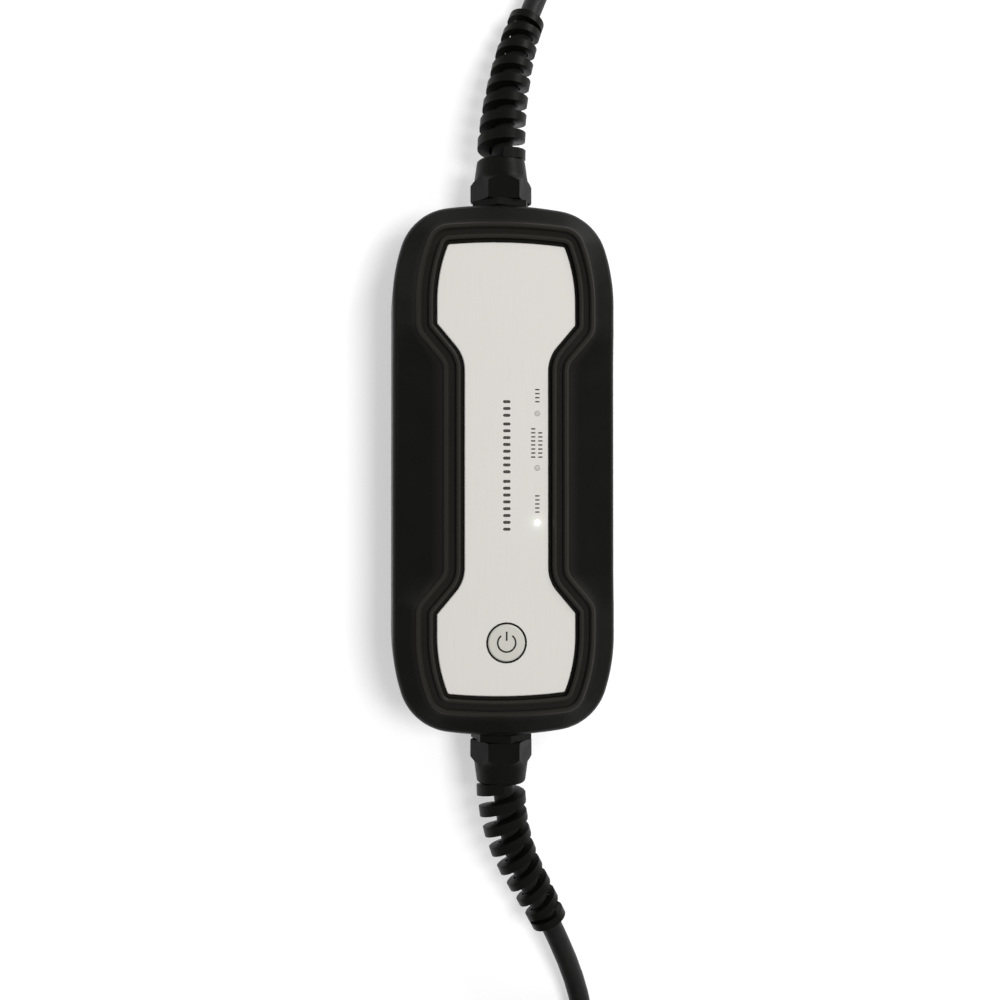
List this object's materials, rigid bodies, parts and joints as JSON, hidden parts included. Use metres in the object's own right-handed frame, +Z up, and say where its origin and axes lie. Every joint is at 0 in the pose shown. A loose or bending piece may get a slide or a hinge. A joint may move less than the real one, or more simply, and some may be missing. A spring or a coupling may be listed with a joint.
{
  "type": "portable electric vehicle charger",
  "caption": "Portable charging box for an electric vehicle: black moulded housing with a waisted silver plate, push button, lights and a mains and a vehicle cord.",
  "frame": {"origin": "middle of the box's back, on the surface that it lies on", "axes": "+Z up out of the face plate, +Y along the box towards the mains cord, +X to the right"},
  "size_m": [0.098, 1.1167, 0.0602],
  "materials": {
    "housing": "fine moulded texture, black",
    "plate": "satin silver",
    "button": "satin silver",
    "seal": "matt black rubber",
    "light_on": "clear, lit",
    "light_off": "clear, unlit",
    "gland": "black nylon",
    "cord": "black cord jacket",
    "tie": "black hook tape",
    "plug": "black",
    "contact": "nickel plated",
    "screw": "zinc plated",
    "board": "green laminate",
    "relay": "black case",
    "module": "black case",
    "capacitor": "yellow case",
    "can": "dark sleeve",
    "surge": "blue lacquer",
    "ferrite": "dark grey",
    "terminal": "green",
    "brown_core": "brown",
    "blue_core": "blue",
    "earth_core": "green and yellow",
    "pilot_core": "white",
    "flat_cable": "grey"
  },
  "bodies": {
    "root": {"back_cover": "housing", "board_fuse": "module", "button_seal": "seal", "connector_contacts": "contact", "connector_handle": "plug", "connector_nose": "plug", "connector_relief": "seal", "control_chips": "module", "cover_screws": "screw", "current_light_pipe": "light_off", "earth_wires": "earth_core", "face_plate": "plate", "fault_light_pipe": "light_off", "filter_capacitor": "capacitor", "filter_choke": "ferrite", "front_housing": "housing", "housing_gasket": "seal", "indicator_board": "board", "indicator_board_screws": "screw", "indicator_lamps": "light_off", "leakage_sensor": "ferrite", "live_relay": "relay", "live_wires": "brown_core", "mains_cord": "cord", "mains_gland_body": "gland", "mains_gland_nut": "gland", "mains_gland_seal": "seal", "mains_gland_washer": "seal", "mains_locknut": "gland", "mains_terminal": "terminal", "mode_switch": "module", "neutral_relay": "relay", "neutral_wires": "blue_core", "pilot_wire": "pilot_core", "plug_body": "plug", "plug_earth_clips": "contact", "plug_pins": "contact", "power_board": "board", "power_board_screws": "screw", "power_light_pipe": "light_on", "ribbon_cable": "flat_cable", "smoothing_capacitors": "can", "supply_module": "module", "surge_absorbers": "surge", "terminal_screws": "screw", "vehicle_coil_ties": "tie", "vehicle_cord": "cord", "vehicle_cord_coil": "cord", "vehicle_cord_tail": "cord", "vehicle_gland_body": "gland", "vehicle_gland_nut": "gland", "vehicle_gland_seal": "seal", "vehicle_gland_washer": "seal", "vehicle_locknut": "gland", "vehicle_terminal": "terminal"},
    "button": {"mode_button": "button", "switch_plunger": "module"}
  },
  "joints": [
    {"name": "mode_button_press", "type": "slide", "parent": "root", "child": "button", "axis": [0, 0, -1], "range_m": [0, 0.0008], "stiffness_N_per_m": 900, "springref_m": -0.0018}
  ]
}
